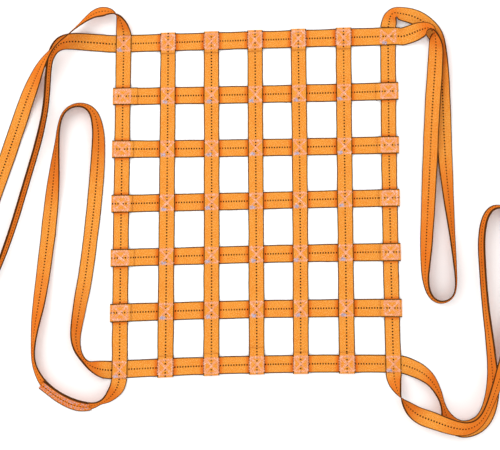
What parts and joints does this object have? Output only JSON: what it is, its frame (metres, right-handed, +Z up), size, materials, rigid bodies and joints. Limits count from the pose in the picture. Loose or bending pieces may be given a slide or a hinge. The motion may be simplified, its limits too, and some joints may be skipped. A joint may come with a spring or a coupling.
{
  "type": "cargo climbing net",
  "caption": "Climbing net of flat webbing straps sewn at every crossing, with a long lashing loop at each corner.",
  "frame": {"origin": "centre of the net panel, on the ground it lies on", "axes": "+X to the right along the horizontal straps, +Y up along the vertical straps, +Z up from the ground"},
  "size_m": [1.6659, 1.2929, 0.1006],
  "materials": {
    "webbing": "woven polyester, semi-matte",
    "thread": "sewn polyester thread"
  },
  "bodies": {
    "right_panel": {"bottom_border_right": "webbing", "bottom_right_loop_root": "webbing", "box_stitches_column_4": "thread", "box_stitches_column_5": "thread", "box_stitches_column_6": "thread", "box_stitches_right_border": "thread", "column_4": "webbing", "column_5": "webbing", "column_6": "webbing", "right_border": "webbing", "row_2_right": "webbing", "row_3_right": "webbing", "row_4_right": "webbing", "row_5_right": "webbing", "row_6_right": "webbing", "top_border_right": "webbing", "top_right_loop_root": "webbing"},
    "left_panel": {"bottom_border_left": "webbing", "bottom_left_loop_root": "webbing", "box_stitches_column_2": "thread", "box_stitches_column_3": "thread", "box_stitches_left_border": "thread", "column_2": "webbing", "column_3": "webbing", "left_border": "webbing", "row_2_left": "webbing", "row_3_left": "webbing", "row_4_left": "webbing", "row_5_left": "webbing", "row_6_left": "webbing", "top_border_left": "webbing", "top_left_loop_root": "webbing"},
    "top_left_loop": {"top_left_loop": "webbing"},
    "top_right_loop": {"top_right_loop": "webbing"},
    "bottom_left_loop": {"bottom_left_loop": "webbing", "splice_overlap": "webbing"},
    "bottom_right_loop": {"bottom_right_loop": "webbing"}
  },
  "joints": [
    {"name": "panel_fold", "type": "hinge", "parent": "right_panel", "child": "left_panel", "pos_m": [-0.0665, 0, 0.003], "axis": [0, 1, 0], "range_deg": [0, 90]},
    {"name": "top_left_loop_lift", "type": "hinge", "parent": "left_panel", "child": "top_left_loop", "pos_m": [-0.437, 0.53, 0.056], "axis": [0, 1, 0], "range_deg": [0, 75]},
    {"name": "top_right_loop_lift", "type": "hinge", "parent": "right_panel", "child": "top_right_loop", "pos_m": [0.437, 0.53, 0.0384], "axis": [0, -1, 0], "range_deg": [0, 75]},
    {"name": "bottom_left_loop_lift", "type": "hinge", "parent": "left_panel", "child": "bottom_left_loop", "pos_m": [-0.437, -0.54, 0.0469], "axis": [0, 1, 0], "range_deg": [0, 75]},
    {"name": "bottom_right_loop_lift", "type": "hinge", "parent": "right_panel", "child": "bottom_right_loop", "pos_m": [0.437, -0.54, 0.0556], "axis": [0, -1, 0], "range_deg": [0, 75]}
  ]
}
